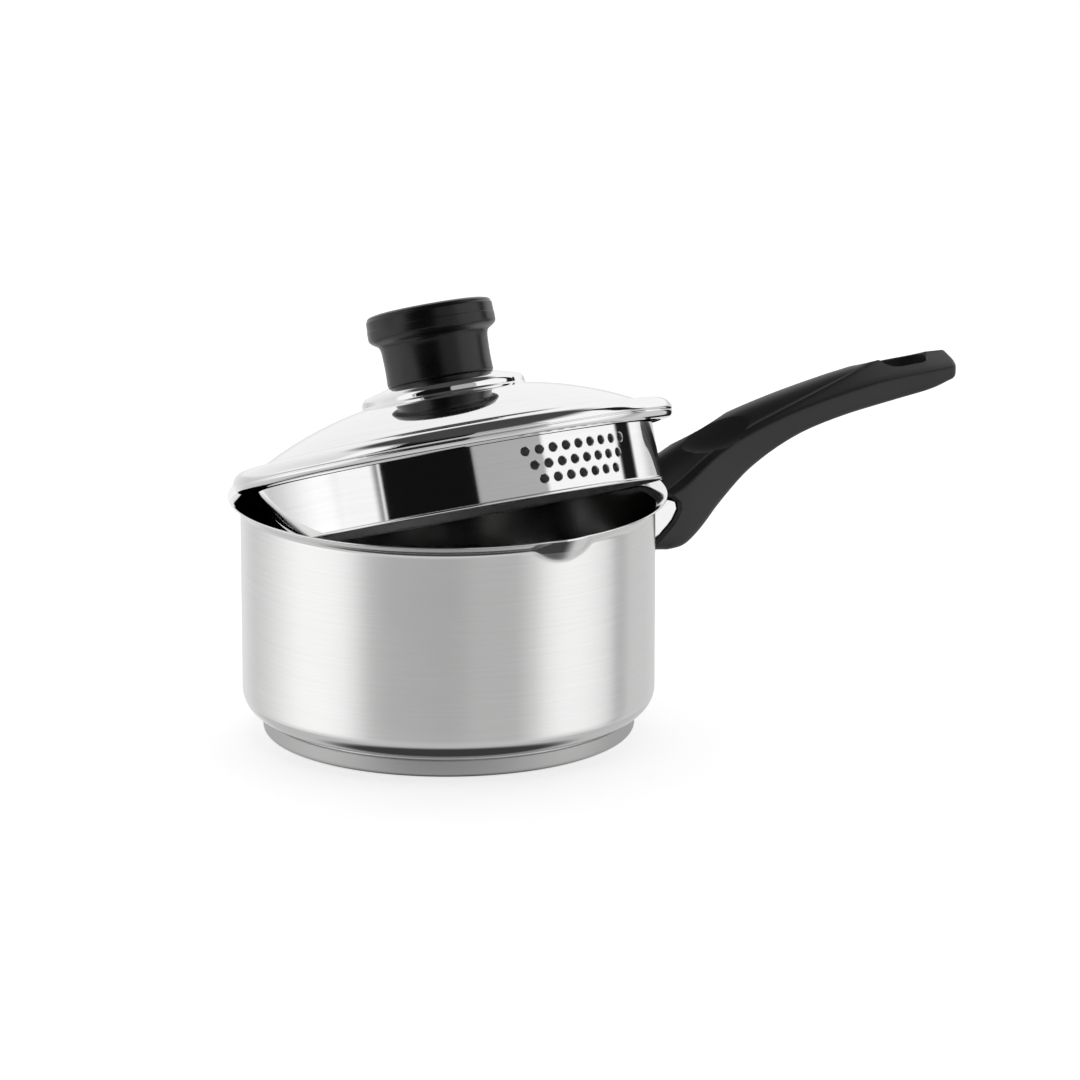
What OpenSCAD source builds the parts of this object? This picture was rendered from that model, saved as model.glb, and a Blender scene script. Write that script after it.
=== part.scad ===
// Small saucepan with two pouring spouts, a capsule base, a moulded handle and a strainer lid.
// Origin at the centre of the underside. +Z is up, the handle runs along +X, the spouts face -Y and +Y.

/* [Pan] */
// Outside radius of the straight wall
body_r = 80; // [70:1:100]
// Height of the rim above the table
rim_z = 93; // [80:1:120]
// Outside radius of the flared lip
lip_r = 84.8; // [84.5:0.1:85.2]
// Sheet thickness of the pan
wall = 0.7; // [0.6:0.1:0.8]
// Radius of the corner between wall and floor
corner_r = 9; // [8:0.5:12]

/* [Base] */
// Radius of the capsule base
base_r = 72.2; // [70:0.1:72.4]
// Height of the capsule base
base_h = 7.8; // [6:0.1:9]
// Thickness of the steel skin round the aluminium core
base_skin = 0.8; // [0.5:0.1:1]

/* [Spout] */
// Radius of the pressed spout
spout_r = 24; // [20:1:28]
// Distance from the pan's axis to the tip of the spout
spout_reach = 85.6; // [85.2:0.1:86.5]
// Slope of the spout, from the vertical
spout_slope = 32.7; // [28:0.1:38]

/* [Lid] */
// Tilt of the propped lid
lid_tilt = 18.5; // [18:0.1:19]
// Shift of the propped lid towards the front spout
lid_shift = 5.2; // [5:0.1:5.6]
// Height of the lid's seat at its centre, when propped
lid_z = 107.3; // [107:0.1:109]
// Turn of the lid about its own axis
lid_turn = 5; // [0:1:360]
// Outside radius of the lid's folded rim
flange_r = 85.6; // [85:0.1:85.6]
// Outside radius of the strainer's bead
skirt_r = 77.6; // [77:0.1:77.6]
// Depth of the strainer below the seat
skirt_h = 21.7; // [20:0.1:23]
// Sheet thickness of the lid
lid_wall = 0.8; // [0.6:0.1:1]

/* [Strainer] */
// Diameter of a strainer hole
hole_d = 3.5; // [2.5:0.1:4]
// Angle between two holes of a row
hole_step = 4.3; // [4:0.1:5]
// Holes in the top row; each row below has one hole less
hole_count = 9; // [5:1:11]

/* [Knob] */
// Radius of the knob's neck
neck_r = 20.6; // [19:0.1:21]
// Radius of the knob's cap
cap_r = 24.8; // [23:0.1:27]
// Height of the knob
knob_h = 28.5; // [26.5:0.1:31]

/* [Handle] */
// Distance from the pan's axis to the handle's end
handle_end = 242; // [240:1:246]
// Distance from the pan's axis to the handle's mouth
handle_start = 95; // [93:0.1:97]
// Radius of the hanging slot's ends
slot_r = 6.2; // [4:0.1:6.6]

/* [Hidden] */
$fn = 96;
gap = 0.2;

// Lip: a concave arc out of the wall, then a straight flare
lip_bend_r = 3.2;
lip_bend = 55;
lip_z = rim_z - 5.6;
lip_slope = 90 - lip_bend;

// Lid profile heights above the seat
fold_z = 1.4;
ledge_z = 10.2;
ledge_r = 73;
plinth_r = 31.8;
plinth_foot_z = 24.4;
plinth_top_z = 27.6;
seat_z = 31;
dome_hole_r = 2.3;

// Strainer rows below the seat
row_z = [-4.2, -9.8, -15.3];
bead_r = 0.7;
vent_r = 0.9;
vent_angle = -67.5;

// Knob fixing
screw_r = 2;
insert_r = 4;
insert_h = 12;
running_fit = 0.05;

// Handle fixing
tongue_z = 69.5;
tongue_t = 4;
tongue_w = 16;
tongue_end = 114;
guard_w = 24;
guard_z0 = 61;
guard_z1 = 82;
guard_end = 102;
guard_wall = 1;
bolt_x = 108.5;
bolt_r = 2.5;
bolt_seat_z = 64;

function arc(cx, cz, r, a0, a1, n) = [for (i = [0:n]) let(a = a0 + (a1 - a0) * i / n)
    [cx + r * cos(a), cz + r * sin(a)]];

// Smooth curve through hand-picked [x, value] points
function seg(p, x, i = 0) = (i >= len(p) - 2 || x < p[i + 1][0]) ? i : seg(p, x, i + 1);
function slope(p, i) = (i <= 0) ? (p[1][1] - p[0][1]) / (p[1][0] - p[0][0])
    : (i >= len(p) - 1) ? (p[i][1] - p[i - 1][1]) / (p[i][0] - p[i - 1][0])
    : (p[i + 1][1] - p[i - 1][1]) / (p[i + 1][0] - p[i - 1][0]);
function smooth(p, x) = let(
    i = seg(p, x),
    h = p[i + 1][0] - p[i][0],
    t = (x - p[i][0]) / h)
    (1 + 2 * t) * (1 - t) * (1 - t) * p[i][1] + t * (1 - t) * (1 - t) * h * slope(p, i)
    + t * t * (3 - 2 * t) * p[i + 1][1] + t * t * (t - 1) * h * slope(p, i + 1);

// ---- pan ----

module lip_profile(r, bend_r, edge_in) {
    bend = arc(body_r + lip_bend_r, lip_z, bend_r, 180, 180 - lip_bend, 8);
    run = (lip_r - edge_in - bend[8][0]);
    polygon(concat(
        [[0, lip_z - 20], [r, lip_z - 20]],
        bend,
        [[bend[8][0] + run, bend[8][1] + run * tan(lip_slope)],
         [0, bend[8][1] + run * tan(lip_slope)]]));
}

module tub_profile(r, corner, floor_z) {
    polygon(concat(
        [[0, floor_z]],
        arc(r - corner, floor_z + corner, corner, -90, 0, 10),
        [[r, lip_z], [0, lip_z]]));
}

module spout_cylinder(r, z0, z1) {
    lean_r = spout_r / cos(spout_slope);
    for (side = [0, 180]) rotate([0, 0, side]) intersection() {
        translate([0, lean_r - spout_reach, rim_z - 1]) rotate([spout_slope, 0, 0])
            cylinder(r = r, h = 80, center = true);
        translate([-30, -100, z0]) cube([60, 60, z1 - z0]);
    }
}

module pan_body() {
    color("silver") difference() {
        union() {
            rotate_extrude() tub_profile(body_r, corner_r, base_h);
            rotate_extrude() lip_profile(body_r, lip_bend_r, 0.2);
            spout_cylinder(spout_r, rim_z - 13, rim_z - 0.7);
        }
        rotate_extrude() tub_profile(body_r - wall, corner_r - wall, base_h + wall);
        rotate_extrude() lip_profile(body_r - wall, lip_bend_r + wall, -1);
        spout_cylinder(spout_r - wall, rim_z - 13, rim_z + 5);
    }
}

module base_core() {
    color("lightgray") translate([0, 0, base_skin])
        cylinder(r = base_r - base_skin, h = base_h - base_skin);
}

module base_cap() {
    edge_r = 2;
    color("darkgray") difference() {
        rotate_extrude() polygon(concat(
            [[0, 0]],
            arc(base_r - edge_r, edge_r, edge_r, -90, 0, 6),
            [[base_r, base_h], [0, base_h]]));
        translate([0, 0, base_skin]) cylinder(r = base_r - base_skin, h = base_h);
    }
}

// ---- handle ----

module handle_bracket() {
    pad_t = 1.8;
    pad_w = 20;
    color("silver") difference() {
        union() {
            intersection() {
                cylinder(r = body_r + pad_t, h = rim_z);
                translate([0, -pad_w / 2, guard_z0 + 3])
                    cube([body_r + pad_t, pad_w, guard_z1 - guard_z0 - 6]);
            }
            translate([body_r - 2, -tongue_w / 2, tongue_z])
                cube([tongue_end - body_r + 2, tongue_w, tongue_t]);
        }
        cylinder(r = body_r, h = rim_z);
        translate([bolt_x, 0, tongue_z - 1]) cylinder(r = bolt_r + running_fit, h = tongue_t + 2);
    }
}

module rounded_bar(x0, x1, w, z0, z1, r) {
    translate([x0, 0, (z0 + z1) / 2]) rotate([90, 0, 90]) linear_extrude(x1 - x0) union() {
        square([w - 2 * r, z1 - z0], center = true);
        square([w, z1 - z0 - 2 * r], center = true);
        for (i = [-1, 1]) for (j = [-1, 1])
            translate([i * (w / 2 - r), j * ((z1 - z0) / 2 - r)]) circle(r = r);
    }
}

module flame_guard() {
    corner = 5;
    color("gainsboro") difference() {
        rounded_bar(body_r - 5, guard_end, guard_w, guard_z0, guard_z1, corner);
        rounded_bar(body_r - 6, guard_end - guard_wall, guard_w - 2 * guard_wall,
            guard_z0 + guard_wall, guard_z1 - guard_wall, corner - guard_wall);
        cylinder(r = body_r, h = rim_z);
        translate([guard_end - 5, -tongue_w / 2 - gap, tongue_z - gap])
            cube([10, tongue_w + 2 * gap, tongue_t + 2 * gap]);
    }
}

// Side view of the grip: ridge of the top, crest of the side wall and underside
grip_top = [[handle_start, 91.4], [100, 94.3], [120, 102.6], [142, 108.8], [180, 116], [205, 119],
    [225, 119.8], [handle_end, 119.3]];
grip_crest = [[handle_start, 80.6], [102, 83.5], [117.5, 93], [133, 99.6], [154, 105.6], [176, 110],
    [203, 113.7], [handle_end, 115.2]];
grip_under = [[handle_start, 58.2], [98, 57.8], [105, 58.7], [112, 63.4], [122, 73], [137, 85],
    [158, 95], [180, 100.4], [207, 104], [229, 106.7], [handle_end, 109.6]];
// Half width of the grip
grip_half = [[handle_start, 14.1], [105, 14], [130, 12.4], [160, 12.2], [195, 13], [225, 13.4],
    [234, 12.6], [handle_end, 6]];
// Sideways place of the crease between tongue and side facet
grip_crease = [[handle_start, 11.3], [130, 9.6], [160, 7.8], [185, 4.6], [204, 1], [handle_end, 1]];

// Thumb rest: a shallow hollow in each flank of the ridge
thumb_x = 122;
thumb_half = 16;
thumb_depth = 1.6;
function thumb_dip(x) = abs(x - thumb_x) >= thumb_half ? 0
    : thumb_depth * pow(cos(90 * (x - thumb_x) / thumb_half), 0.8);

function grip_section(x) = let(
    top = smooth(grip_top, x),
    crest = smooth(grip_crest, x),
    under = smooth(grip_under, x),
    w = smooth(grip_half, x),
    crease = min(smooth(grip_crease, x), w * 0.86),
    crease_z = crest + (top - crest) * (1 - crease / w) * 0.85,
    half = [[crease * 0.45, top - (top - crease_z) * 0.2 - thumb_dip(x) * 0.8],
        [crease * 0.72, top - (top - crease_z) * 0.5 - thumb_dip(x)], [crease, crease_z], [w, crest],
        [w * 0.98, crest - (crest - under) * 0.45], [w * 0.74, under + (crest - under) * 0.1],
        [w * 0.4, under]])
    concat([[0, top]], half, [[0, under]],
        [for (i = [len(half) - 1:-1:0]) [-half[i][0], half[i][1]]]);

grip_x = concat([for (i = [0:9]) handle_start + (122 - handle_start) * i / 9],
    [for (i = [1:14]) 122 + (234 - 122) * i / 14], [236, 238, 240, handle_end]);

module grip_loft() {
    sides = len(grip_section(handle_start));
    last = len(grip_x) - 1;
    points = [for (x = grip_x) for (p = grip_section(x)) [x, p[0], p[1]]];
    walls = [for (i = [0:last - 1]) for (j = [0:sides - 1]) let(k = (j + 1) % sides)
        [i * sides + j, i * sides + k, (i + 1) * sides + k, (i + 1) * sides + j]];
    split = [for (f = walls) for (t = [[f[0], f[2], f[1]], [f[0], f[3], f[2]]]) t];
    polyhedron(points, concat([[for (j = [0:sides - 1]) j]], split,
        [[for (j = [sides - 1:-1:0]) last * sides + j]]), convexity = 6);
}

module handle_grip() {
    slot_x = [214.8, 224.2];
    color("#202124") difference() {
        grip_loft();
        rounded_bar(body_r, guard_end + gap, guard_w + 2 * gap,
            guard_z0 - gap, guard_z1 + gap, 5.2);
        translate([guard_end, -tongue_w / 2 - gap, tongue_z - gap])
            cube([tongue_end - guard_end + gap, tongue_w + 2 * gap, tongue_t + 2 * gap]);
        translate([bolt_x, 0, 50]) cylinder(r = bolt_r + gap, h = 26);
        translate([bolt_x, 0, 50]) cylinder(r = 5.4, h = bolt_seat_z - 50);
        translate([0, 0, 95]) linear_extrude(30) union() {
            for (x = slot_x) translate([x, 0]) circle(r = slot_r);
            translate([slot_x[0], -slot_r]) square([slot_x[1] - slot_x[0], 2 * slot_r]);
        }
    }
}

module cross_recess(len, w, depth) {
    translate([0, 0, -1]) linear_extrude(depth + 1) union() {
        square([len, w], center = true);
        square([w, len], center = true);
    }
}

module handle_screw() {
    head_r = 4.6;
    head_h = 3;
    washer_t = 1;
    color("darkgray") translate([bolt_x, 0, bolt_seat_z - washer_t - head_h]) {
        translate([0, 0, head_h]) cylinder(r = bolt_r, h = 12);
        difference() {
            cylinder(r = head_r, h = head_h);
            cross_recess(5, 1, 1.6);
        }
    }
}

module handle_washer() {
    color("silver") translate([bolt_x, 0, bolt_seat_z - 1]) difference() {
        cylinder(r = 5, h = 1);
        translate([0, 0, -1]) cylinder(r = bolt_r + running_fit, h = 3);
    }
}

// ---- lid ----

module place_lid() {
    translate([0, -lid_shift, lid_z]) rotate([-lid_tilt, 0, 0]) rotate([0, 0, lid_turn]) children();
}

// Dome between plinth and ledge: one arc of a large sphere
dome_rise = plinth_foot_z - ledge_z;
dome_run = ledge_r - plinth_r;
dome_out_slope = 10;
dome_chord = sqrt(dome_rise * dome_rise + dome_run * dome_run);
dome_chord_slope = atan(dome_rise / dome_run);
dome_half_angle = dome_chord_slope - dome_out_slope;
dome_R = dome_chord / (2 * sin(dome_half_angle));
dome_cx = plinth_r - dome_R * sin(dome_out_slope);
dome_cz = plinth_foot_z - dome_R * cos(dome_out_slope);

module lid_profile(t) {
    polygon(concat(
        [[0, seat_z - t], [neck_r, seat_z - t], [plinth_r - 2, plinth_top_z + 0.8 - t],
         [plinth_r - 0.6 - t, plinth_top_z - 0.2 - t * 0.5], [plinth_r - t, plinth_foot_z - t * 0.8]],
        arc(dome_cx, dome_cz, dome_R - t, 90 - dome_out_slope,
            90 - dome_out_slope - 2 * dome_half_angle, 14),
        [[ledge_r + 0.4, ledge_z - 0.2 - t], [79, 9.4 - t], [flange_r - 2 - t * 0.5, 7.6 - t],
         [flange_r - 0.4 - t, 5.8 - t * 0.3], [flange_r - t, 4], [flange_r - 0.4 - t, 2.6 + t * 0.4],
         [flange_r - 1.8, fold_z + t], [80.4, fold_z - 0.4 + t], [0, fold_z - 0.4 + t]]));
}

module lid_dome() {
    color("whitesmoke") place_lid() difference() {
        rotate_extrude() lid_profile(0);
        rotate_extrude() intersection() {
            lid_profile(lid_wall);
            translate([0, fold_z + lid_wall]) square([flange_r, 60]);
        }
        translate([0, 0, -5]) cylinder(r = 80.4, h = 7.6);
        cylinder(r = dome_hole_r, h = 50);
        rotate([0, 0, vent_angle]) translate([plinth_r - 4, 0, 25.7]) rotate([0, 90, 0])
            cylinder(r = vent_r, h = 8);
    }
}

module strainer_ring() {
    in_r = skirt_r - bead_r - lid_wall + 0.1;
    top_z = fold_z + lid_wall;
    color("gainsboro") place_lid() difference() {
        rotate_extrude() union() {
            translate([in_r, -skirt_h + bead_r]) square([lid_wall, skirt_h - bead_r + top_z + lid_wall]);
            translate([in_r, top_z]) square([flange_r - 2 - in_r, lid_wall]);
            translate([skirt_r - bead_r, -skirt_h + bead_r]) circle(r = bead_r);
        }
        for (side = [0, 180]) for (row = [0:2]) for (i = [0:hole_count - row - 1])
            rotate([0, 0, side - 90 + (i - (hole_count - row - 1) / 2) * hole_step])
                translate([skirt_r - 6, 0, row_z[row]]) rotate([0, 90, 0])
                    cylinder(r = hole_d / 2, h = 10);
    }
}

module knob() {
    top = seat_z + knob_h;
    color("#1c1c1e") place_lid() difference() {
        rotate_extrude() polygon([[0, seat_z], [neck_r - 0.4, seat_z], [neck_r, seat_z + 0.8],
            [neck_r - 0.2, seat_z + 7], [neck_r + 0.1, seat_z + 13.4], [neck_r + 1.2, seat_z + 15.4],
            [cap_r - 1, seat_z + 16.2], [cap_r - 0.2, seat_z + 17], [cap_r, seat_z + 18.2],
            [cap_r, seat_z + 22], [cap_r - 0.4, top - 1.2], [cap_r - 1.2, top - 0.2],
            [cap_r - 2, top], [0, top]]);
        translate([0, 0, seat_z - 1]) difference() {
            cylinder(r = neck_r - 3, h = 5);
            cylinder(r = insert_r + 3, h = 5);
        }
        translate([0, 0, seat_z - 1]) cylinder(r = insert_r, h = insert_h + 3);
    }
}

module knob_insert() {
    color("goldenrod") place_lid() translate([0, 0, seat_z]) difference() {
        cylinder(r = insert_r, h = insert_h);
        translate([0, 0, -1]) cylinder(r = screw_r + running_fit, h = insert_h + 2);
    }
}

module knob_screw() {
    washer_t = 1;
    head_h = 2.4;
    under = seat_z - lid_wall - 0.1 - washer_t;
    color("darkgray") place_lid() difference() {
        union() {
            translate([0, 0, under]) cylinder(r = screw_r, h = 13.5);
            translate([0, 0, under - head_h]) cylinder(r = 3.8, h = head_h);
        }
        translate([0, 0, under - head_h]) cross_recess(4, 0.8, 1.2);
    }
}

module knob_washer() {
    color("silver") place_lid() translate([0, 0, seat_z - lid_wall - 0.1 - 1]) difference() {
        cylinder(r = 6, h = 1);
        translate([0, 0, -1]) cylinder(r = screw_r + running_fit, h = 3);
    }
}

pan_body();
base_core();
base_cap();
handle_bracket();
flame_guard();
handle_grip();
handle_screw();
handle_washer();
lid_dome();
strainer_ring();
knob();
knob_insert();
knob_screw();
knob_washer();
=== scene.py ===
"""Looks of the small saucepan with its strainer lid propped in the mouth. Shapes are in millimetres."""

import math

import bpy
import bmesh
from mathutils import Matrix, Vector


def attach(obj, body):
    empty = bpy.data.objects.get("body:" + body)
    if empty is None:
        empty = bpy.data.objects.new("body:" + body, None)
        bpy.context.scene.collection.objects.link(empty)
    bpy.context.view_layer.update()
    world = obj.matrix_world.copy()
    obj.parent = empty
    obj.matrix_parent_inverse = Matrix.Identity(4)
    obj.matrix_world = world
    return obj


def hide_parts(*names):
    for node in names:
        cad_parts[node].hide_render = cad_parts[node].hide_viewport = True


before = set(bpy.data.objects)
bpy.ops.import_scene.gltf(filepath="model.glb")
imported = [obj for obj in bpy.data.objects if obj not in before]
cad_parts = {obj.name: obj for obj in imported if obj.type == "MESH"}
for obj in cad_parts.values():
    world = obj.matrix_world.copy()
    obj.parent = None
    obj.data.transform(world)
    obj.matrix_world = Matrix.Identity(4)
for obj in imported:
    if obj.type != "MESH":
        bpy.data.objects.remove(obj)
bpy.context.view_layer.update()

MM = 0.001

# Pan
BODY_R = 80
WALL = 0.7
CORNER_R = 9
BASE_R = 72.2
BASE_H = 7.8
LIP_Z = 87.4
LIP_BEND_R = 3.2
LIP_SLOPE = 35
LIP_EDGE_R = 84.6
LIP_EDGE_Z = 92.575
SPOUT_R = 24
SPOUT_REACH = 85.6
SPOUT_SLOPE = 32.7
SPOUT_TOP_Z = 92

# Lid, in its own frame: seat at height 0
LID_AT = (0, -5.2, 107.3)
LID_TILT = -18.5
LID_TURN = 5
LID_WALL = 0.8
PLINTH_R = 31.8
PLINTH_FOOT_Z = 24.4
LEDGE_R = 73
LEDGE_Z = 10.2
SEAT_Z = 31
RING_R = 77
RING_ROWS = (-4.2, -9.775, -15.325)
RING_BANDS = (-1.4, -7.0, -12.55, -18.1)
HOLES_IN_ROW = (9, 8, 7)
HOLE_R = 1.75
HOLE_STEP = 4.3
HOLE_CELLS = 8
GROUP_CELLS = 40
PLAIN_CELLS = 110
VENT_R = 0.9
VENT_Z = 25.7
VENT_ANGLE = -67.5

# Knob
NECK_R = 20.6
CAP_R = 24.8
KNOB_H = 28.5

# Grip
GRIP_START = 95
GRIP_JOIN = 128
GRIP_END = 242
GRIP_END_R = 2.2
POCKET_END = 104
THUMB_AT = (122, 5.9)
SLOT_X = (214.8, 224.2)
SLOT_R = 6.2
SLOT_CHAMFER = 1.7
BOLT_X = 108.5
BOLT_R = 5.4

# Set
VIEW_AZIMUTH = 33
VIEW_ELEVATION = 15.26


# ---- mesh helpers ----


def arc(cx, cz, r, a0, a1, n):
    """Points on an arc, from angle a0 to a1 in degrees."""
    angles = [math.radians(a0 + (a1 - a0) * i / n) for i in range(n + 1)]
    return [(cx + r * math.cos(a), cz + r * math.sin(a)) for a in angles]


def rounded(corners, steps=5):
    """Polyline through (r, z, radius) corners, each corner eased over its radius."""
    out = []
    for i, (x, z, radius) in enumerate(corners):
        here = Vector((x, z))
        if radius == 0 or i in (0, len(corners) - 1):
            out.append((x, z))
            continue
        before, after = (Vector(corners[j][:2]) - here for j in (i - 1, i + 1))
        reach = min(radius, before.length * 0.48, after.length * 0.48)
        a, b = here + before.normalized() * reach, here + after.normalized() * reach
        for k in range(steps + 1):
            t = k / steps
            out.append(tuple(a * (1 - t) ** 2 + here * 2 * t * (1 - t) + b * t ** 2))
    return out


def spline(points, steps=4):
    """Smooth curve through the points."""
    ends = [points[0], *points, points[-1]]
    out = []
    for i in range(1, len(ends) - 2):
        p0, p1, p2, p3 = (Vector(p) for p in ends[i - 1:i + 3])
        for k in range(steps):
            t = k / steps
            out.append(tuple(0.5 * (2 * p1 + (p2 - p0) * t + (2 * p0 - 5 * p1 + 4 * p2 - p3) * t ** 2
                                    + (3 * p1 - p0 - 3 * p2 + p3) * t ** 3)))
    return out + [tuple(points[-1])]


def bend(a, corner, b, t):
    """Point at t on the curve from a to b that leans towards the corner."""
    return tuple((1 - t) ** 2 * p + 2 * t * (1 - t) * q + t * t * r for p, q, r in zip(a, corner, b))


def curve_at(points, x):
    """Value at x of a smooth curve through (x, value) points."""
    i = 0
    while i < len(points) - 2 and x >= points[i + 1][0]:
        i += 1

    def slope(j):
        a, b = points[max(j - 1, 0)], points[min(j + 1, len(points) - 1)]
        return (b[1] - a[1]) / (b[0] - a[0])

    (x0, y0), (x1, y1) = points[i], points[i + 1]
    if x < x0:
        return y0 + (x - x0) * slope(0)
    h = x1 - x0
    t = (x - x0) / h
    return ((1 + 2 * t) * (1 - t) ** 2 * y0 + t * (1 - t) ** 2 * h * slope(i)
            + t * t * (3 - 2 * t) * y1 + t * t * (t - 1) * h * slope(i + 1))


def smoothstep(a, b, x):
    """0 up to a, 1 from b, eased between."""
    t = min(max((x - a) / (b - a), 0), 1)
    return t * t * (3 - 2 * t)


def make_object(name, verts, faces, sharp=32):
    """Mesh object from millimetre points, smooth but for edges sharper than the angle."""
    mesh = bpy.data.meshes.new(name)
    mesh.from_pydata([[c * MM for c in v] for v in verts], [], faces)
    mesh.validate()
    bm = bmesh.new()
    bm.from_mesh(mesh)
    bmesh.ops.recalc_face_normals(bm, faces=bm.faces)
    bm.to_mesh(mesh)
    bm.free()
    finish_mesh(mesh, sharp)
    obj = bpy.data.objects.new(name, mesh)
    bpy.context.scene.collection.objects.link(obj)
    return obj


def finish_mesh(mesh, sharp):
    """Smooth shading, with edges sharper than the angle kept sharp."""
    mesh.polygons.foreach_set("use_smooth", [True] * len(mesh.polygons))
    mesh.set_sharp_from_angle(angle=math.radians(sharp))


def lathe(name, profile, segments=256, sharp=32, bulge=None, closed=False):
    """Turned shape about Z. A profile end on the axis closes to a point."""
    verts, faces, rings = [], [], []
    for r, z in profile:
        if r < 1e-6:
            rings.append([len(verts)] * segments)
            verts.append((0, 0, z))
            continue
        rings.append(list(range(len(verts), len(verts) + segments)))
        for j in range(segments):
            a = 2 * math.pi * j / segments
            k = bulge(len(rings) - 1, a, r, z) if bulge else r
            verts.append((k * math.cos(a), k * math.sin(a), z))
    pairs = list(zip(rings, rings[1:])) + ([(rings[-1], rings[0])] if closed else [])
    for low, high in pairs:
        for j in range(segments):
            k = (j + 1) % segments
            face = list(dict.fromkeys([low[j], low[k], high[k], high[j]]))
            if len(face) > 2:
                faces.append(face)
    return make_object(name, verts, faces, sharp)


def loft(name, rows, sharp=32):
    """Closed tube through rows of points, its ends closed by fans."""
    n = len(rows[0])
    verts = [p for row in rows for p in row]
    faces = []
    for i in range(len(rows) - 1):
        for j in range(n):
            k = (j + 1) % n
            faces.append([i * n + j, i * n + k, (i + 1) * n + k, (i + 1) * n + j])
    for row in (0, len(rows) - 1):
        centre = [sum(p[c] for p in rows[row]) / n for c in range(3)]
        verts.append(centre)
        for j in range(n):
            faces.append([row * n + j, row * n + (j + 1) % n, len(verts) - 1])
    return make_object(name, verts, faces, sharp)


def cut(obj, cutters, sharp):
    """Takes the cutters out of obj and keeps only the result."""
    for cutter in cutters:
        mod = obj.modifiers.new("cut", "BOOLEAN")
        mod.operation = "DIFFERENCE"
        mod.solver = "EXACT"
        mod.object = cutter
    graph = bpy.context.evaluated_depsgraph_get()
    mesh = bpy.data.meshes.new_from_object(obj.evaluated_get(graph))
    obj.modifiers.clear()
    obj.data = mesh
    for cutter in cutters:
        bpy.data.objects.remove(cutter)
    finish_mesh(mesh, sharp)


def paint(obj, materials, pick=None):
    """Gives obj its materials; pick(r, z) chooses one from a face's distance to the axis and height."""
    obj.data.materials.clear()
    for material in materials:
        obj.data.materials.append(material)
    for face in obj.data.polygons if pick else ():
        x, y, z = face.center / MM
        face.material_index = pick(math.hypot(x, y), z)


def lid_matrix():
    """Places a piece made in the lid's own frame, propped in the mouth."""
    shift = Matrix.Translation([c * MM for c in LID_AT])
    return shift @ Matrix.Rotation(math.radians(LID_TILT), 4, "X") @ Matrix.Rotation(
        math.radians(LID_TURN), 4, "Z")


# ---- materials ----


class Nodes:
    """A small builder for node trees."""

    def __init__(self, tree):
        self.tree = tree

    def node(self, kind, inputs=(), **settings):
        made = self.tree.nodes.new(kind)
        for key, value in settings.items():
            setattr(made, key, value)
        for key, value in dict(inputs).items():
            if isinstance(value, bpy.types.NodeSocket):
                self.tree.links.new(value, made.inputs[key])
            else:
                made.inputs[key].default_value = value
        return made

    def math(self, operation, a, b):
        return self.node("ShaderNodeMath", {0: a, 1: b}, operation=operation).outputs["Value"]

    def ramp(self, value, stops):
        made = self.node("ShaderNodeValToRGB", {"Fac": value})
        elements = made.color_ramp.elements
        for i, (place, shade) in enumerate(stops):
            element = elements[i] if i < 2 else elements.new(place)
            element.position = place
            element.color = (*shade, 1)
        return made.outputs["Color"]

    def mix(self, factor, a, b):
        """Colour a where the factor is 0, b where it is 1."""
        made = self.node("ShaderNodeMix", {"Factor": factor, 6: a, 7: b}, data_type="RGBA")
        return made.outputs[2]

    def rise(self, value, low, high):
        """0 up to low, 1 from high, eased between."""
        return self.node("ShaderNodeMapRange", {"Value": value, "From Min": low, "From Max": high},
                         interpolation_type="SMOOTHSTEP").outputs["Result"]


class Shader(Nodes):
    """A material whose surface sockets are set or linked by name."""

    def __init__(self, name):
        self.material = bpy.data.materials.new(name)
        self.material.use_nodes = True
        super().__init__(self.material.node_tree)
        self.surface = self.tree.nodes["Principled BSDF"]

    def link(self, value, key):
        self.tree.links.new(value, self.surface.inputs[key])

    def set(self, **values):
        for key, value in values.items():
            self.surface.inputs[key.replace("_", " ")].default_value = value

    def spread(self, value, low, high):
        """Maps the middle of a noise's range to low..high."""
        return self.node("ShaderNodeMapRange", {
            "Value": value, "From Min": 0.3, "From Max": 0.7, "To Min": low, "To Max": high,
        }).outputs["Result"]


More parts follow.
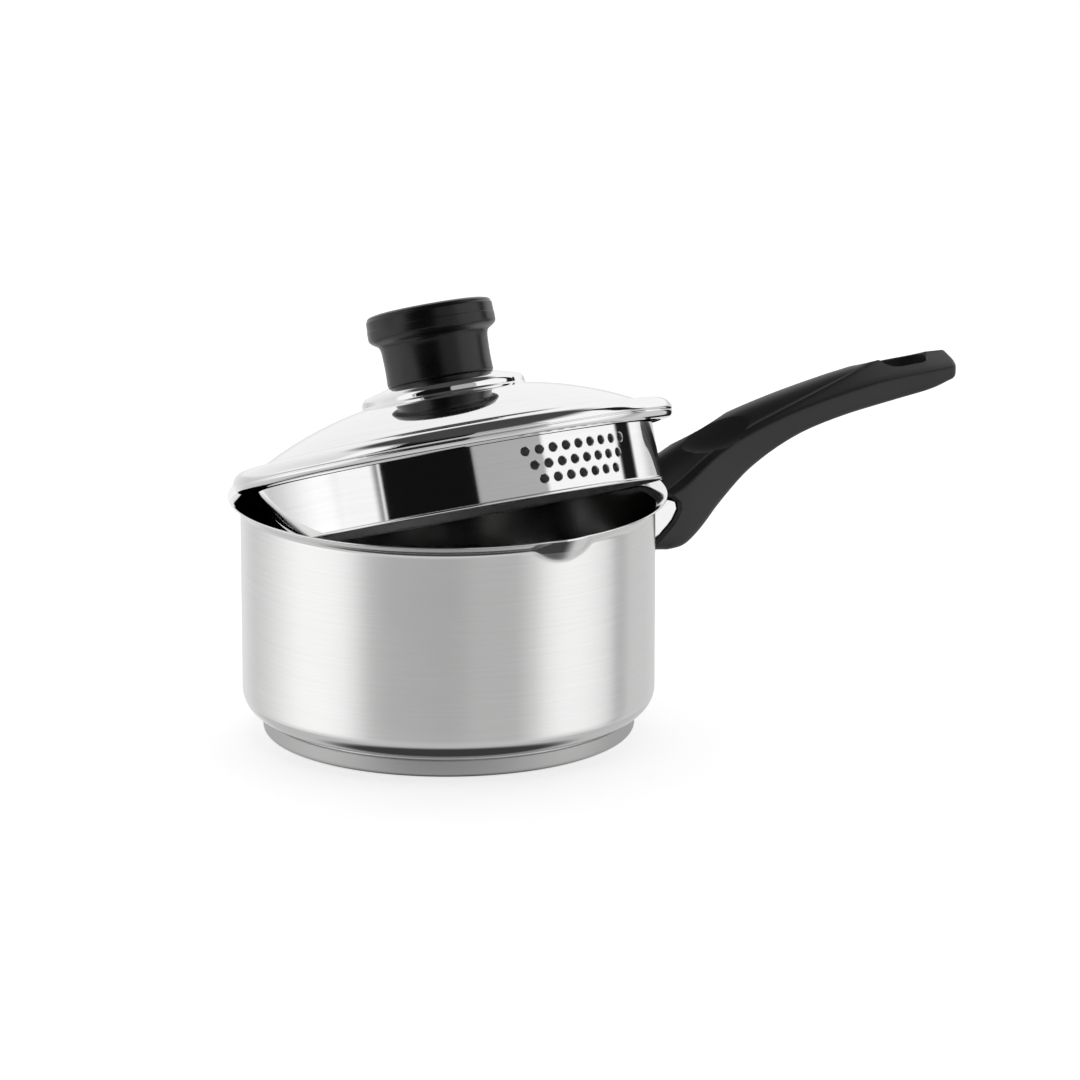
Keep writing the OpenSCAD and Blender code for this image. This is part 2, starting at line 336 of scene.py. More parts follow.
def steel(name, tint, roughness, brushing=1300, relief=0.12, stretch=0.0, spots=0.02, on_lid=False):
    """Steel with fine lines round its axis, faint cloudiness and a little colour variation."""
    s = Shader(name)
    place = s.node("ShaderNodeTexCoord").outputs["Object"]
    if on_lid:
        place = s.node("ShaderNodeMapping", {
            "Vector": place, "Location": [c * MM for c in LID_AT],
            "Rotation": (math.radians(LID_TILT), 0, 0)}, vector_type="TEXTURE").outputs["Vector"]
    axes = s.node("ShaderNodeSeparateXYZ", {"Vector": place}).outputs
    flat = s.node("ShaderNodeCombineXYZ", {"X": axes["X"], "Y": axes["Y"]}).outputs["Vector"]
    radius = s.node("ShaderNodeVectorMath", {0: flat}, operation="LENGTH").outputs["Value"]
    scaled = s.node("ShaderNodeVectorMath", {0: place, 1: (30, 30, brushing)},
                    operation="MULTIPLY").outputs["Vector"]
    fast = s.math("MULTIPLY", radius, brushing)
    lines = s.node("ShaderNodeTexNoise", {"Vector": scaled, "W": fast, "Scale": 1, "Detail": 3,
                                          "Roughness": 0.6}, noise_dimensions="4D").outputs["Fac"]
    clouds = s.node("ShaderNodeTexNoise", {"Vector": place, "Scale": 45, "Detail": 4}).outputs["Fac"]
    shade = s.ramp(lines, [(0.25, [c * 0.94 for c in tint]), (0.75, tint)])
    s.link(shade, "Base Color")
    both = s.math("MULTIPLY", lines, clouds)
    rough = s.node("ShaderNodeMapRange", {"Value": both, "From Min": 0.1, "From Max": 0.4,
                                          "To Min": roughness - spots, "To Max": roughness + spots})
    s.link(rough.outputs["Result"], "Roughness")
    bump = s.node("ShaderNodeBump", {"Height": lines, "Strength": relief, "Distance": 0.00004})
    s.link(bump.outputs["Normal"], "Normal")
    s.set(Metallic=1.0)
    if stretch:
        tangent = s.node("ShaderNodeTangent", direction_type="RADIAL", axis="Z").outputs["Tangent"]
        s.link(tangent, "Tangent")
        s.set(Anisotropic=stretch, Anisotropic_Rotation=0.25)
    return s.material


def phenolic(name, tone, roughness, relief=0.25):
    """Dark moulded plastic with a fine matt grain, rubbed smoother in faint patches."""
    s = Shader(name)
    place = s.node("ShaderNodeTexCoord").outputs["Object"]
    grain = s.node("ShaderNodeTexNoise", {"Vector": place, "Scale": 1900, "Detail": 2}).outputs["Fac"]
    wear = s.node("ShaderNodeTexNoise", {"Vector": place, "Scale": 38, "Detail": 5}).outputs["Fac"]
    s.link(s.ramp(grain, [(0.3, [c * 0.75 for c in tone]), (0.7, [c * 1.25 for c in tone])]), "Base Color")
    s.link(s.spread(wear, roughness - 0.03, roughness + 0.04), "Roughness")
    bump = s.node("ShaderNodeBump", {"Height": grain, "Strength": relief, "Distance": 0.00006})
    s.link(bump.outputs["Normal"], "Normal")
    s.set(Specular_IOR_Level=0.5)
    return s.material


def make_materials():
    """Every finish, by the name that build() uses."""
    return {
        "pan": steel("pan_steel", (0.93, 0.93, 0.925), 0.24, stretch=0.75),
        "lip": steel("lip_steel", (0.93, 0.93, 0.925), 0.07, brushing=900, relief=0.03),
        "pan_inside": steel("inner_steel", (0.80, 0.80, 0.795), 0.13, brushing=900, relief=0.05),
        # The base's darker tint (0.60) is painted shade: it stands in for the shadowed floor close to the pan
        # that the base reflects.
        "base": steel("base_steel", (0.60, 0.60, 0.595), 0.5, brushing=1500, relief=0.06),
        "mirror": steel("lid_steel", (0.95, 0.95, 0.95), 0.045, 700, 0.03, spots=0.01, on_lid=True),
        "ring": steel("strainer_steel", (0.94, 0.94, 0.94), 0.05, 800, 0.04, spots=0.01, on_lid=True),
        "ring_inside": steel("strainer_inner_steel", (0.93, 0.93, 0.93), 0.55, 1100, 0.1, on_lid=True),
        "guard": steel("guard_steel", (0.92, 0.92, 0.915), 0.12, brushing=900, relief=0.06),
        "bracket": steel("bracket_steel", (0.75, 0.75, 0.74), 0.3, brushing=1100, relief=0.15),
        "screw": steel("screw_steel", (0.72, 0.72, 0.71), 0.26, brushing=2400, relief=0.15),
        "core": steel("core_aluminium", (0.80, 0.81, 0.82), 0.36, brushing=1500, relief=0.2),
        "brass": steel("insert_brass", (0.78, 0.60, 0.28), 0.28, brushing=2600, relief=0.2),
        "grip": phenolic("handle_phenolic", (0.009, 0.009, 0.0095), 0.42),
        "knob": phenolic("knob_phenolic", (0.004, 0.004, 0.0045), 0.26),
    }


# ---- pan ----


def spout_radius(angle, z, inside):
    """Distance from the axis to the pressed spout's wall, or 0 where the ray misses it."""
    slope = math.radians(SPOUT_SLOPE)
    across = SPOUT_R - WALL * inside
    along = across / math.cos(slope)
    centre = SPOUT_REACH - (SPOUT_TOP_Z - z) * math.tan(slope) - SPOUT_R / math.cos(slope)
    sx, cy = abs(math.cos(angle)), abs(math.sin(angle))
    a = (sx / across) ** 2 + (cy / along) ** 2
    b = -2 * centre * cy / along ** 2
    c = (centre / along) ** 2 - 1
    under_root = b * b - 4 * a * c
    return (-b + math.sqrt(under_root)) / (2 * a) if under_root > 0 else 0


def soft_max(a, b, blend):
    """The larger of two values, with the change between them rounded over blend."""
    near = max(blend - abs(a - b), 0) / blend
    return max(a, b) + near * near * blend / 4


def pan_profile():
    """Outline of the shell, with how far each point is from the outer to the inner side."""
    floor_r, fine_z, wall_z = 50, 80, (22, 34, 48, 62, 74)
    fine = [fine_z + (LIP_Z - fine_z) * i / 15 for i in range(15)]
    outer = [(0, BASE_H), (floor_r, BASE_H)]
    outer += arc(BODY_R - CORNER_R, BASE_H + CORNER_R, CORNER_R, -90, 0, 18)
    outer += [(BODY_R, z) for z in (*wall_z, *fine)]
    outer += arc(BODY_R + LIP_BEND_R, LIP_Z, LIP_BEND_R, 180, 125, 12)
    start = outer[-1]
    run = LIP_EDGE_R - start[0]
    outer += [(start[0] + run * t, start[1] + run * t * math.tan(math.radians(LIP_SLOPE)))
              for t in (0.2, 0.4, 0.6, 0.8, 0.95)]
    edge = arc(LIP_EDGE_R - 0.2, LIP_EDGE_Z, WALL / 2, LIP_SLOPE - 90, LIP_SLOPE + 90, 8)
    inner = [(x - 0.4, z + 0.575) for x, z in reversed(outer[-5:])]
    inner += arc(BODY_R + LIP_BEND_R, LIP_Z, LIP_BEND_R + WALL, 125, 180, 12)
    inner += [(BODY_R - WALL, z) for z in reversed((*wall_z, *fine))]
    inner += arc(BODY_R - CORNER_R, BASE_H + CORNER_R, CORNER_R - WALL, 0, -90, 18)
    inner += [(floor_r, BASE_H + WALL), (0, BASE_H + WALL)]
    sides = [0] * len(outer) + [i / 8 for i in range(9)] + [1] * len(inner)
    return outer + edge + inner, sides


def make_pan():
    """The shell, with the two spouts pressed out of its upper part."""
    profile, sides = pan_profile()
    press_z = 81

    def bulge(row, angle, r, z):
        return r if z < press_z else soft_max(r, spout_radius(angle, z, sides[row]), 0.7)

    return lathe("pan_shell", profile, segments=480, bulge=bulge)


def make_base():
    """Capsule base: rounded foot, a slightly hollow underside with turned grooves."""
    corners = [(0, 0.3, 0)]
    for r in (12, 30, 48):
        corners += [(r, 0.3, 0.3), (r + 0.5, 0.7, 0.3), (r + 1.3, 0.7, 0.3), (r + 1.8, 0.3, 0.3)]
    corners += [(63.5, 0.3, 0.5), (64.5, 0, 0.5), (BASE_R, 0, 2.2), (BASE_R, BASE_H - 0.9, 0.5),
                (BASE_R - 1.8, BASE_H - 0.8, 0.2), (BASE_R - 1.8, BASE_H - 0.05, 0), (0, BASE_H - 0.05, 0)]
    return lathe("base_disc", rounded(corners, 7), segments=320, sharp=40)


# ---- handle ----

GRIP_TOP = [(GRIP_START, 91.4), (100, 94.3), (120, 102.6), (142, 108.8), (180, 116), (205, 119), (225, 119.8),
            (GRIP_END, 119.3)]
GRIP_CREST = [(GRIP_START, 80.6), (102, 83.5), (117.5, 93), (133, 99.6), (154, 105.6), (176, 110),
              (203, 113.7), (GRIP_END, 115.2)]
GRIP_UNDER = [(GRIP_START, 58.2), (98, 57.8), (105, 58.7), (112, 63.4), (122, 73), (137, 85), (158, 95),
              (180, 100.4), (207, 104), (229, 106.7), (GRIP_END, 109.6)]
GRIP_HALF = [(GRIP_START, 14.1), (105, 14), (130, 12.4), (160, 12.2), (195, 13), (225, 13.4),
             (GRIP_END, 12.9)]
GRIP_CREASE = [(GRIP_START, 11.3), (130, 9.6), (160, 7.8), (185, 4.6), (204, 0.9), (GRIP_END, 0.8)]
# Front edge of the grip in side view, as (z, x)
MOUTH = [(57, 88.4), (60, 88.8), (62.7, 90.6), (66, 94.0), (70, 98.2), (74.9, 101.0), (78.5, 100.2),
         (81.8, 95.8), (85, 92.6), (88, 91.2), (92, 91)]


def facet_z(x, y):
    """Height of the flat side facet, which the ridge and the crest span."""
    top, crest = curve_at(GRIP_TOP, x), curve_at(GRIP_CREST, x)
    return top - (top - crest) * abs(y) / curve_at(GRIP_HALF, x)


def grip_half_section(x):
    """Right half of the section at x, from the ridge to the middle of the underside."""
    top, crest, under = (curve_at(c, x) for c in (GRIP_TOP, GRIP_CREST, GRIP_UNDER))
    w = curve_at(GRIP_HALF, x)
    crease = min(curve_at(GRIP_CREASE, x), w * 0.86)
    lift = 0.75 * smoothstep(0.7, 2.6, crease)
    edge_z = facet_z(x, crease) + lift
    tall = crest - under
    points = []
    for i in range(13):
        t = i / 12
        points.append((crease * 0.965 * t, top - (top - edge_z) * t ** 2.1))
    points.append((crease * 0.99, edge_z - lift * 0.5))
    for t in (0.01, 0.15, 0.35, 0.52, 0.67):
        y = crease + (w - crease) * t
        points.append((y, facet_z(x, y) - lift * 0.12 * (1 - t)))
    ease = min(0.9, (w - crease) * 0.3)
    crest_in = (w - ease, facet_z(x, w - ease))
    crest_out = (w * 0.998, crest - ease * 1.1)
    points += [bend(crest_in, (w, crest), crest_out, t) for t in (0, 0.35, 0.65, 1)]
    for t in (0.15, 0.3, 0.45):
        points.append((w * (1 - 0.05 * t * t), crest - tall * t - ease * (1 - t)))
    low = [(w * 0.985, crest - tall * 0.55), (w * 0.99, under), (w * 0.5, under)]
    points += [bend(*low, i / 8) for i in range(9)]
    points += [(w * 0.2, under), (0, under)]
    return points


def section_count():
    """Points in a half section, the same all along the grip."""
    return len(grip_half_section(GRIP_JOIN))


def grip_point(x, k):
    """Point k of the whole section at x, going round from the ridge."""
    last = section_count() - 1
    y, z = grip_half_section(x)[k if k <= last else 2 * last - k]
    return Vector((x, y if k <= last else -y, z))


def mouth_x(k):
    """Where line k of the grip meets the front edge."""
    x = GRIP_START
    for _ in range(12):
        x = curve_at(MOUTH, grip_point(x, k).z)
    return x


def inset(p, middle, depth):
    """Moves a point towards the section's middle by depth."""
    to = Vector((0, middle.y - p.y, middle.z - p.z))
    return p + to.normalized() * depth if to.length > depth else p + to


def bent_end(p):
    """Rounds the grip's end in plan."""
    return Vector((p.x - 4.5 * (p.y / 13) ** 2 * smoothstep(222, GRIP_END, p.x), p.y, p.z))


def front_rows(starts):
    """Rows from inside the pocket round the front edge."""
    front = [grip_point(x, k) for k, x in enumerate(starts)]
    middle = Vector((0, 0, 73))
    rows = [[Vector((POCKET_END, *inset(p, middle, 1.9).yz)) for p in front]]
    for depth, back in ((1.75, 1.5), (1.7, -0.4), (1.45, -1.1), (0.8, -0.75), (0.25, -0.2)):
        rows.append([inset(p, middle, depth) + Vector((back, 0, 0)) for p in front])
    return rows


def end_rows(body_end, count, steps=7):
    """Rows round the edge of the grip's end."""
    rows = []
    for i in range(1, steps + 1):
        a = math.radians(90 * i / steps)
        x = body_end + GRIP_END_R * math.sin(a)
        middle = Vector((x, 0, (curve_at(GRIP_TOP, x) + curve_at(GRIP_UNDER, x)) / 2))
        depth = GRIP_END_R * (1 - math.cos(a))
        rows.append([bent_end(inset(grip_point(x, k), middle, depth)) for k in range(count)])
    return rows


def grip_rows(front_steps=34, body_steps=84):
    """All rows of the grip: the front edge, slanted rows up to the join, then upright ones."""
    count = 2 * section_count() - 2
    starts = [mouth_x(k) for k in range(count)]
    rows = front_rows(starts)
    for i in range(front_steps):
        t = i / front_steps
        rows.append([grip_point(x + (GRIP_JOIN - x) * t, k) for k, x in enumerate(starts)])
    body_end = GRIP_END - GRIP_END_R
    for i in range(body_steps + 1):
        x = GRIP_JOIN + (body_end - GRIP_JOIN) * i / body_steps
        rows.append([bent_end(grip_point(x, k)) for k in range(count)])
    return rows + end_rows(body_end, count)


def slot_cutter():
    """Stadium prism that flares out of the top and the underside."""
    plan = []
    for x, a0 in ((SLOT_X[1], -90), (SLOT_X[0], 90)):
        plan += [(x, math.radians(a0 + 9 * i)) for i in range(21)]
    rows = []
    for grow, top, rise in ((SLOT_CHAMFER, True, 6), (SLOT_CHAMFER, True, 1), (0, True, -0.7),
                            (0, False, 0.8), (SLOT_CHAMFER, False, -0.9)):
        row = []
        for x, a in plan:
            px = x + (SLOT_R + grow) * math.cos(a)
            z = facet_z(px, SLOT_R * math.sin(a)) if top else curve_at(GRIP_UNDER, px)
            row.append((px, (SLOT_R + grow) * math.sin(a), z + rise))
        rows.append(row)
    return loft("slot_cutter", rows)


def flank(x, y):
    """Point on the grip's upper surface above (x, y)."""
    half = grip_half_section(x)
    for (y0, z0), (y1, z1) in zip(half, half[1:]):
        if y0 <= y <= y1:
            return Vector((x, y, z0 + (z1 - z0) * (y - y0) / (y1 - y0)))


def thumb_cutter(side):
    """Ellipsoid that scoops a thumb rest out of one flank of the ridge."""
    long, wide, tall, above, steps = 21, 11.3, 6, 3.4, 48
    x, y = THUMB_AT
    middle = flank(x, y)
    along = (Vector((137, 6.5, 105.4)) - Vector((108, 1.25, 97.8))).normalized()
    normal = (flank(x + 3, y) - flank(x - 3, y)).cross(flank(x, y + 3) - flank(x, y - 3)).normalized()
    along = (along - normal * along.dot(normal)).normalized()
    across = normal.cross(along)
    rows = []
    for i in range(1, steps):
        a = math.pi * i / steps
        row = []
        for j in range(steps):
            b = 2 * math.pi * j / steps
            p = (middle + along * (-long * math.cos(a)) + across * (wide * math.sin(a) * math.sin(b))
                 + normal * (above + tall * math.sin(a) * math.cos(b)))
            row.append(Vector((p.x, side * p.y, p.z)))
        rows.append(row)
    return loft("thumb_cutter", rows)


def bolt_cutter():
    """Round pocket for the screw's head, open downwards."""
    turns = [2 * math.pi * j / 48 for j in range(48)]
    rows = [[(BOLT_X + BOLT_R * math.cos(a), BOLT_R * math.sin(a), z) for a in turns] for z in (50, 64)]
    return loft("bolt_cutter", rows)


def make_grip():
    """Moulded grip with its slot, thumb rests and screw pocket."""
    grip = loft("grip_moulding", grip_rows(), sharp=30)
    cut(grip, [slot_cutter(), thumb_cutter(-1), thumb_cutter(1), bolt_cutter()], sharp=30)
    return grip


def make_guard():
    """Steel sleeve between wall and grip, fitted to the round wall with a small weld fillet."""
    half_w, low, high, corner, sheet = 12, 61, 82, 5, 1
    rows = []  # a row with no x lies on the wall
    for x, grow in ((None, 0.7), (81.0, 0.25), (82.0, 0), (102, 0), (102, -sheet), (83, -sheet),
                    (None, -sheet)):
        row = []
        for cy, cz, a0 in ((1, 1, 0), (-1, 1, 90), (-1, -1, 180), (1, -1, 270)):
            for i in range(9):
                a = math.radians(a0 + 90 * i / 8)
                r = corner + grow
                y = cy * (half_w - corner) + r * math.cos(a)
                z = (low + high) / 2 + cz * ((high - low) / 2 - corner) + r * math.sin(a)
                wall_x = math.sqrt(BODY_R ** 2 - y * y) - 0.05
                row.append((wall_x if x is None else max(x, wall_x + (x - 80) * 0.4), y, z))
        rows.append(row)
    n = len(rows[0])
    faces = [[i * n + j, i * n + (j + 1) % n, (i + 1) * n + (j + 1) % n, (i + 1) * n + j]
             for i in range(len(rows) - 1) for j in range(n)]
    return make_object("guard_sleeve", [p for row in rows for p in row], faces, 35)


# ---- lid ----


def dome_arc(depth):
    """Arc of the dome from the plinth to the ledge, pushed inwards by depth."""
    rise, run = PLINTH_FOOT_Z - LEDGE_Z, LEDGE_R - PLINTH_R
    half = math.atan2(rise, run) - math.radians(10)
    r = math.hypot(rise, run) / (2 * math.sin(half))
    cx = PLINTH_R - r * math.sin(math.radians(10))
    cz = PLINTH_FOOT_Z - r * math.cos(math.radians(10))
    return arc(cx, cz, r - depth, 80, 80 - 2 * math.degrees(half), 32)


def make_vent_cutter():
    """Small round bar through the plinth's side."""
    angle = math.radians(VENT_ANGLE)
    rows = []
    for reach in (PLINTH_R - 3, PLINTH_R + 3):
        row = []
        for j in range(24):
            b = 2 * math.pi * j / 24
            across, up = VENT_R * math.cos(b), VENT_R * math.sin(b)
            row.append((reach * math.cos(angle) - across * math.sin(angle),
                        reach * math.sin(angle) + across * math.cos(angle), VENT_Z + up))
        rows.append(row)
    return loft("vent_cutter", rows)


def make_dome():
    """Lid top in one closed outline: plinth, dome, ledge, rolled flange, then back along the inside."""
    t = LID_WALL
    plinth = rounded([(2.3, SEAT_Z, 0), (NECK_R, SEAT_Z, 0.8), (30.2, 28.5, 1.4), (31.6, 26.8, 0.8),
                      (PLINTH_R, PLINTH_FOOT_Z + 0.2, 0.3), (PLINTH_R + 0.6, PLINTH_FOOT_Z - 0.1, 0)], 6)
    flange = spline([(LEDGE_R + 0.3, 9.8), (74.6, 9.2), (77, 9.4), (80, 9.6), (82.8, 8.9), (84.7, 7.3),
                     (85.6, 5.2), (85.5, 4.4)], 6)
    flange += spline([(85.15, 4.1), (85.45, 3.6), (85.1, 2.5), (84, 1.5), (80.4, 1.0)], 6)
    under = [(80.4, 1.0 + t), (83.4, 2.2), (84.2, 2.9), (84.6, 4), (84.6, 5.2), (83.8, 6.9), (82.2, 8.1),
             (80, 8.8), (77, 8.6), (LEDGE_R + 1, 8.5)]
    inside = list(reversed(dome_arc(t)))
    inside += [(PLINTH_R - t, PLINTH_FOOT_Z - 0.4), (29.9, 27.5), (NECK_R, SEAT_Z - t), (2.3, SEAT_Z - t)]
    dome = lathe("dome_shell", plinth + dome_arc(0)[1:] + flange + under + inside, segments=384,
                 sharp=38, closed=True)
    cut(dome, [make_vent_cutter()], sharp=38)
    dome.data.transform(lid_matrix())
    return dome


def ring_columns():
    """Angles round the ring: eighths of the hole step over each group, even steps between."""
    fine = HOLE_STEP / HOLE_CELLS
    columns = []
    for side in (-90, 90):
        columns += [side + i * fine for i in range(-GROUP_CELLS, GROUP_CELLS + 1)]
        gap = 180 - 2 * GROUP_CELLS * fine
        columns += [side + GROUP_CELLS * fine + gap * i / PLAIN_CELLS for i in range(1, PLAIN_CELLS)]
    return columns


def ring_heights():
    """Heights down the wall: eighths of each hole band, and a few above and below."""
    heights = [2.2, 1.4, 0.6, -0.4]
    for top, low in zip(RING_BANDS, RING_BANDS[1:]):
        heights += [top + (low - top) * i / HOLE_CELLS for i in range(HOLE_CELLS)]
    return heights + [RING_BANDS[-1], -19.2, -20.4]


def ring_point(degrees, r, z):
    a = math.radians(degrees)
    return (r * math.cos(a), r * math.sin(a), z)


def ring_profile(heights):
    """Section of the ring: down its outside, round the bead, up its inside and under the flange."""
    inner_r, seat_z, flange_r = RING_R - LID_WALL, 3.0, 83.4
    bead = arc(RING_R - 0.1, -21, 0.7, 75, -200, 14)
    profile = [(RING_R, z) for z in heights] + bead + [(inner_r, z) for z in reversed(heights)]
    profile += [(inner_r, seat_z), (flange_r, seat_z), (flange_r, 2.2), (80, 2.2)]
    return profile, 2 * len(heights) + len(bead) - 1


def hole_cells():
    """First column, first height and row of each hole's eight by eight block."""
    half_turn = 2 * GROUP_CELLS + PLAIN_CELLS
    cells = []
    for side in (0, 1):
        for row, count in enumerate(HOLES_IN_ROW):
            for i in range(count):
                offset = round(HOLE_CELLS * (i - (count - 1) / 2))
                column = side * half_turn + GROUP_CELLS + offset - HOLE_CELLS // 2
                cells.append((column, 4 + HOLE_CELLS * row, row))
    return cells


def hole_rim(columns, heights, size, far, cell, verts):
    """Loops of points from the block's outer edge through the round hole to its inner edge."""
    column, top, row = cell
    c = HOLE_CELLS
    around = [(i, 0) for i in range(c)] + [(c, k) for k in range(c)]
    around += [(c - i, c) for i in range(c)] + [(0, c - k) for k in range(c)]
    centre_a, centre_z = columns[column + c // 2], RING_ROWS[row]
    wide = RING_R * math.pi / 180
    turns = [math.atan2(heights[top + k] - centre_z, (columns[column + i] - centre_a) * wide)
             for i, k in around]
    loops = [[(column + i) * size + top + k for i, k in around]]
    for radius, r in ((HOLE_R + 0.55, RING_R), (HOLE_R + 0.22, RING_R), (HOLE_R, RING_R - 0.2),
                      (HOLE_R, RING_R - LID_WALL)):
        start = len(verts)
        verts += [ring_point(centre_a + radius * math.cos(t) / wide, r, centre_z + radius * math.sin(t))
                  for t in turns]
        loops.append(list(range(start, start + len(turns))))
    return loops + [[(column + i) * size + far - top - k for i, k in around]]


def make_ring(materials):
    """Strainer ring: a turned band whose cells make way for two groups of round holes."""
    columns, heights = ring_columns(), ring_heights()
    profile, far = ring_profile(heights)
    n, size = len(columns), len(profile)
    verts = [ring_point(c, r, z) for c in columns for r, z in profile]
    blocked, faces = set(), []
    for column, top, _ in hole_cells():
        for i in range(HOLE_CELLS):
            for k in range(HOLE_CELLS):
                blocked.add((column + i, top + k))
                blocked.add((column + i, far - 1 - top - k))
    for j in range(n):
        for k in range(size):
            if (j, k) not in blocked:
                a, b = j * size, (j + 1) % n * size
                faces.append([a + k, a + (k + 1) % size, b + (k + 1) % size, b + k])
    for cell in hole_cells():
        loops = hole_rim(columns, heights, size, far, cell, verts)
        for a, b in zip(loops, loops[1:]):
            around = len(a)
            faces += [[a[m], a[(m + 1) % around], b[(m + 1) % around], b[m]] for m in range(around)]
    ring = make_object("strainer_band", verts, faces, 35)
    paint(ring, materials, lambda r, z: int(r < RING_R - 0.5))
    ring.data.transform(lid_matrix())
    return ring


def make_knob():
    """Round moulded knob: flared neck, undercut cap with fine turned rings near its top."""
    z, top = SEAT_Z, SEAT_Z + KNOB_H
    corners = [(7, z + 4, 0), (7, z + 0.05, 0.4), (NECK_R - 3, z + 0.05, 0.0), (NECK_R - 0.5, z + 0.05, 0.3),
               (NECK_R, z + 0.8, 0.3), (NECK_R - 0.2, z + 7, 6), (NECK_R + 0.1, z + 14.2, 1.5),
               (NECK_R + 0.6, z + 16.2, 1.2), (CAP_R - 1.2, z + 17.6, 0.8), (CAP_R, z + 18.8, 1),
               (CAP_R, z + 22.4, 0.2), (CAP_R - 0.12, z + 22.6, 0.2), (CAP_R - 0.25, z + 26.2, 1),
               (CAP_R - 0.6, z + 26.7, 0.2), (CAP_R - 0.9, z + 27.6, 0.4), (CAP_R - 2.0, top - 0.3, 0.4),
               (CAP_R - 2.9, top - 0.35, 0.3), (CAP_R - 3.4, top, 0.4), (CAP_R - 6, top - 0.1, 1)]
    for r in (16.5, 11, 5.5):
        corners += [(r, top - 0.35, 0.3), (r - 0.4, top - 0.65, 0.3), (r - 0.8, top - 0.35, 0.3)]
    corners += [(0, top - 0.5, 0)]
    profile = [(0, z + 4)] + rounded(corners, 5)
    knob = lathe("knob_moulding", profile, segments=256, sharp=34)
    knob.data.transform(lid_matrix())
    return knob


# ---- studio ----


def add_camera():
    """Camera at the usual three-quarter view of the pan."""
    azimuth, elevation = math.radians(-VIEW_AZIMUTH), math.radians(VIEW_ELEVATION)
    target, distance = Vector((0, 0, 0.045)), 2.2
    aim_right, aim_up = 0.01619, 0.01274
    back = Vector((math.sin(azimuth) * math.cos(elevation), -math.cos(azimuth) * math.cos(elevation),
                   math.sin(elevation)))
    right = Vector((math.cos(azimuth), math.sin(azimuth), 0))
    up = back.cross(right)
    data = bpy.data.cameras.new("camera")
    data.lens = 189.2
    data.sensor_width = 36
    camera = bpy.data.objects.new("camera", data)
    camera.location = target + back * distance
    aim = -back + right * aim_right + up * aim_up
    camera.rotation_mode = "QUATERNION"
    camera.rotation_quaternion = aim.to_track_quat("-Z", "Y")
    bpy.context.scene.collection.objects.link(camera)
    bpy.context.scene.camera = camera


# Brightness seen in each direction round the pan, in degrees from the camera's side: level with it, and above
LOW_BANDS = [(-180, 0.84), (-160, 0.78), (-136, 0.62), (-120, 0.72), (-108, 0.86), (-97, 1.0),
             (-88, 1.08), (-75, 1.08), (-62, 1.0), (-54, 0.84), (-45, 0.60), (-34, 0.52), (0, 0.48),
             (20, 0.49), (38, 0.48), (48, 0.68), (56, 0.90), (66, 1.02), (80, 1.0), (91, 0.9),
             (101, 0.74), (107, 0.46), (113, 0.46), (119, 0.62), (140, 0.60), (168, 0.66), (180, 0.84)]
HIGH_BANDS = [(-180, 0.95), (-120, 0.85), (-75, 0.75), (-69.5, 1.0), (-50, 1.0), (-47.5, 0.32),
              (-45.8, 0.22), (-45.4, 0.95), (-44.3, 0.95), (-43.6, 0.006), (9, 0.006), (10, 0.42),
              (52, 0.44), (54, 1.0), (108, 1.0), (110, 0.01), (122, 0.01), (124, 1.0), (180, 0.95)]


def turn_ramp(nodes, place, bands):
    """Grey ramp over one full turn."""
    return nodes.ramp(place, [(degrees / 360 + 0.5, (shade,) * 3) for degrees, shade in bands])


def studio_bands(s):
    """The surroundings by direction: bands round the pan, a dim ceiling, grey and then dark below."""
    coords = s.node("ShaderNodeTexCoord").outputs["Generated"]

    def along(direction):
        return s.node("ShaderNodeVectorMath", {0: coords, 1: direction},
                      operation="DOT_PRODUCT").outputs["Value"]

    a = math.radians(VIEW_AZIMUTH)
    turn = s.math("ARCTAN2", along((math.cos(a), -math.sin(a), 0)), along((-math.sin(a), -math.cos(a), 0)))
    place = s.math("ADD", s.math("DIVIDE", turn, 2 * math.pi), 0.5)
    height = along((0, 0, 1))
    below = s.math("MULTIPLY", height, -1.0)
    low, high = turn_ramp(s, place, LOW_BANDS), turn_ramp(s, place, HIGH_BANDS)
    bands = s.mix(s.rise(height, -0.1, 0.0), low, high)
    for value, start, end, shade in ((height, 0.66, 0.82, 0.06), (below, 0.4, 0.6, 0.6),
                                     (below, 0.75, 0.9, 0.05)):
        bands = s.mix(s.rise(value, start, end), bands, (shade, shade, shade, 1))
    return bands


def studio_world():
    """Surroundings that the steel reflects, and a plain white backdrop."""
    world = bpy.data.worlds.new("studio")
    bpy.context.scene.world = world
    world.use_nodes = True
    world.node_tree.nodes.clear()
    s = Nodes(world.node_tree)
    backdrop = s.node("ShaderNodeLightPath").outputs["Is Camera Ray"]
    shown = s.mix(backdrop, studio_bands(s), (1, 1, 1, 1))
    background = s.node("ShaderNodeBackground", {"Color": shown}).outputs["Background"]
    s.node("ShaderNodeOutputWorld", {"Surface": background})


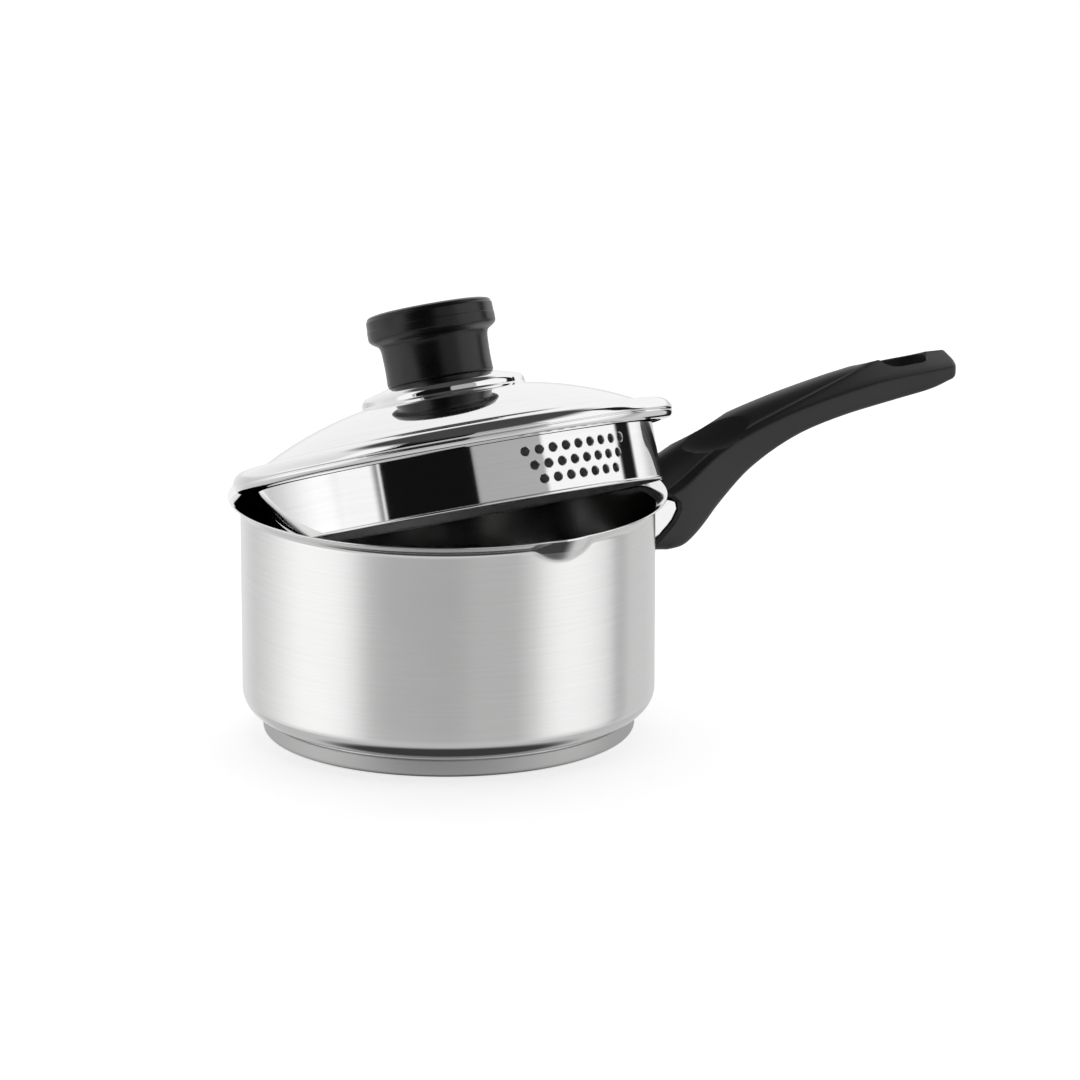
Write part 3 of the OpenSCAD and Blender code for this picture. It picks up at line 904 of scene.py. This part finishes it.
def add_floor():
    """Plain pale floor that glows a little, out of sight of the steel's reflections."""
    floor = lathe("floor", [(0, 0), (400, 0), (6000, 0)], segments=96)
    floor.location.z = -0.0003
    s = Shader("floor_white")
    s.set(Roughness=0.9, Specular_IOR_Level=0.0, Emission_Color=(1, 1, 1, 1), Emission_Strength=0.6)
    place = s.node("ShaderNodeTexCoord").outputs["Object"]
    fine = s.node("ShaderNodeTexNoise", {"Vector": place, "Scale": 30}).outputs["Fac"]
    s.link(s.ramp(fine, [(0.3, (0.85, 0.85, 0.85)), (0.7, (0.87, 0.87, 0.87))]), "Base Color")
    floor.data.materials.append(s.material)
    floor.visible_glossy = False


def soft_light():
    """One large soft light overhead."""
    data = bpy.data.lights.new("overhead", "AREA")
    data.shape = "DISK"
    data.size = 1.6
    data.energy = 6
    light = bpy.data.objects.new("overhead", data)
    light.location = (0.2, 0.3, 1.6)
    light.visible_glossy = False
    bpy.context.scene.collection.objects.link(light)


# ---- assembly ----


def place_piece(obj, material, body, node):
    """Puts a piece on its body in place of its CAD node."""
    if not obj.data.materials:
        paint(obj, [material])
    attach(obj, body)
    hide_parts(node)


def paint_node(node, material):
    """Gives a carried-over CAD node its finish."""
    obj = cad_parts[node]
    if not obj.data.materials:
        obj.data.materials.append(material)
    for slot in obj.material_slots:
        slot.material = material


def build():
    """Makes every piece, and gives the carried-over nodes their finish."""
    looks = make_materials()
    shell = make_pan()
    paint(shell, [looks["pan"], looks["lip"], looks["pan_inside"]],
          lambda r, z: 1 if z > LIP_Z - 0.2 else int(r < BODY_R - 0.4 and z > BASE_H + 0.5) * 2)
    place_piece(shell, looks["pan"], "pan", "pan_body")
    place_piece(make_base(), looks["base"], "pan", "base_cap")
    place_piece(make_grip(), looks["grip"], "pan", "handle_grip")
    place_piece(make_guard(), looks["guard"], "pan", "flame_guard")
    place_piece(make_dome(), looks["mirror"], "lid", "lid_dome")
    ring = make_ring([looks["ring"], looks["ring_inside"]])
    place_piece(ring, looks["ring"], "lid", "strainer_ring")
    place_piece(make_knob(), looks["knob"], "lid", "knob")
    kept = {"base_core": "core", "handle_bracket": "bracket", "handle_screw": "screw",
            "handle_washer": "screw", "knob_insert": "brass", "knob_screw": "screw", "knob_washer": "screw"}
    for node, look in kept.items():
        paint_node(node, looks[look])


add_camera()
build()
studio_world()
add_floor()
soft_light()
bpy.context.scene.view_settings.view_transform = "Standard"
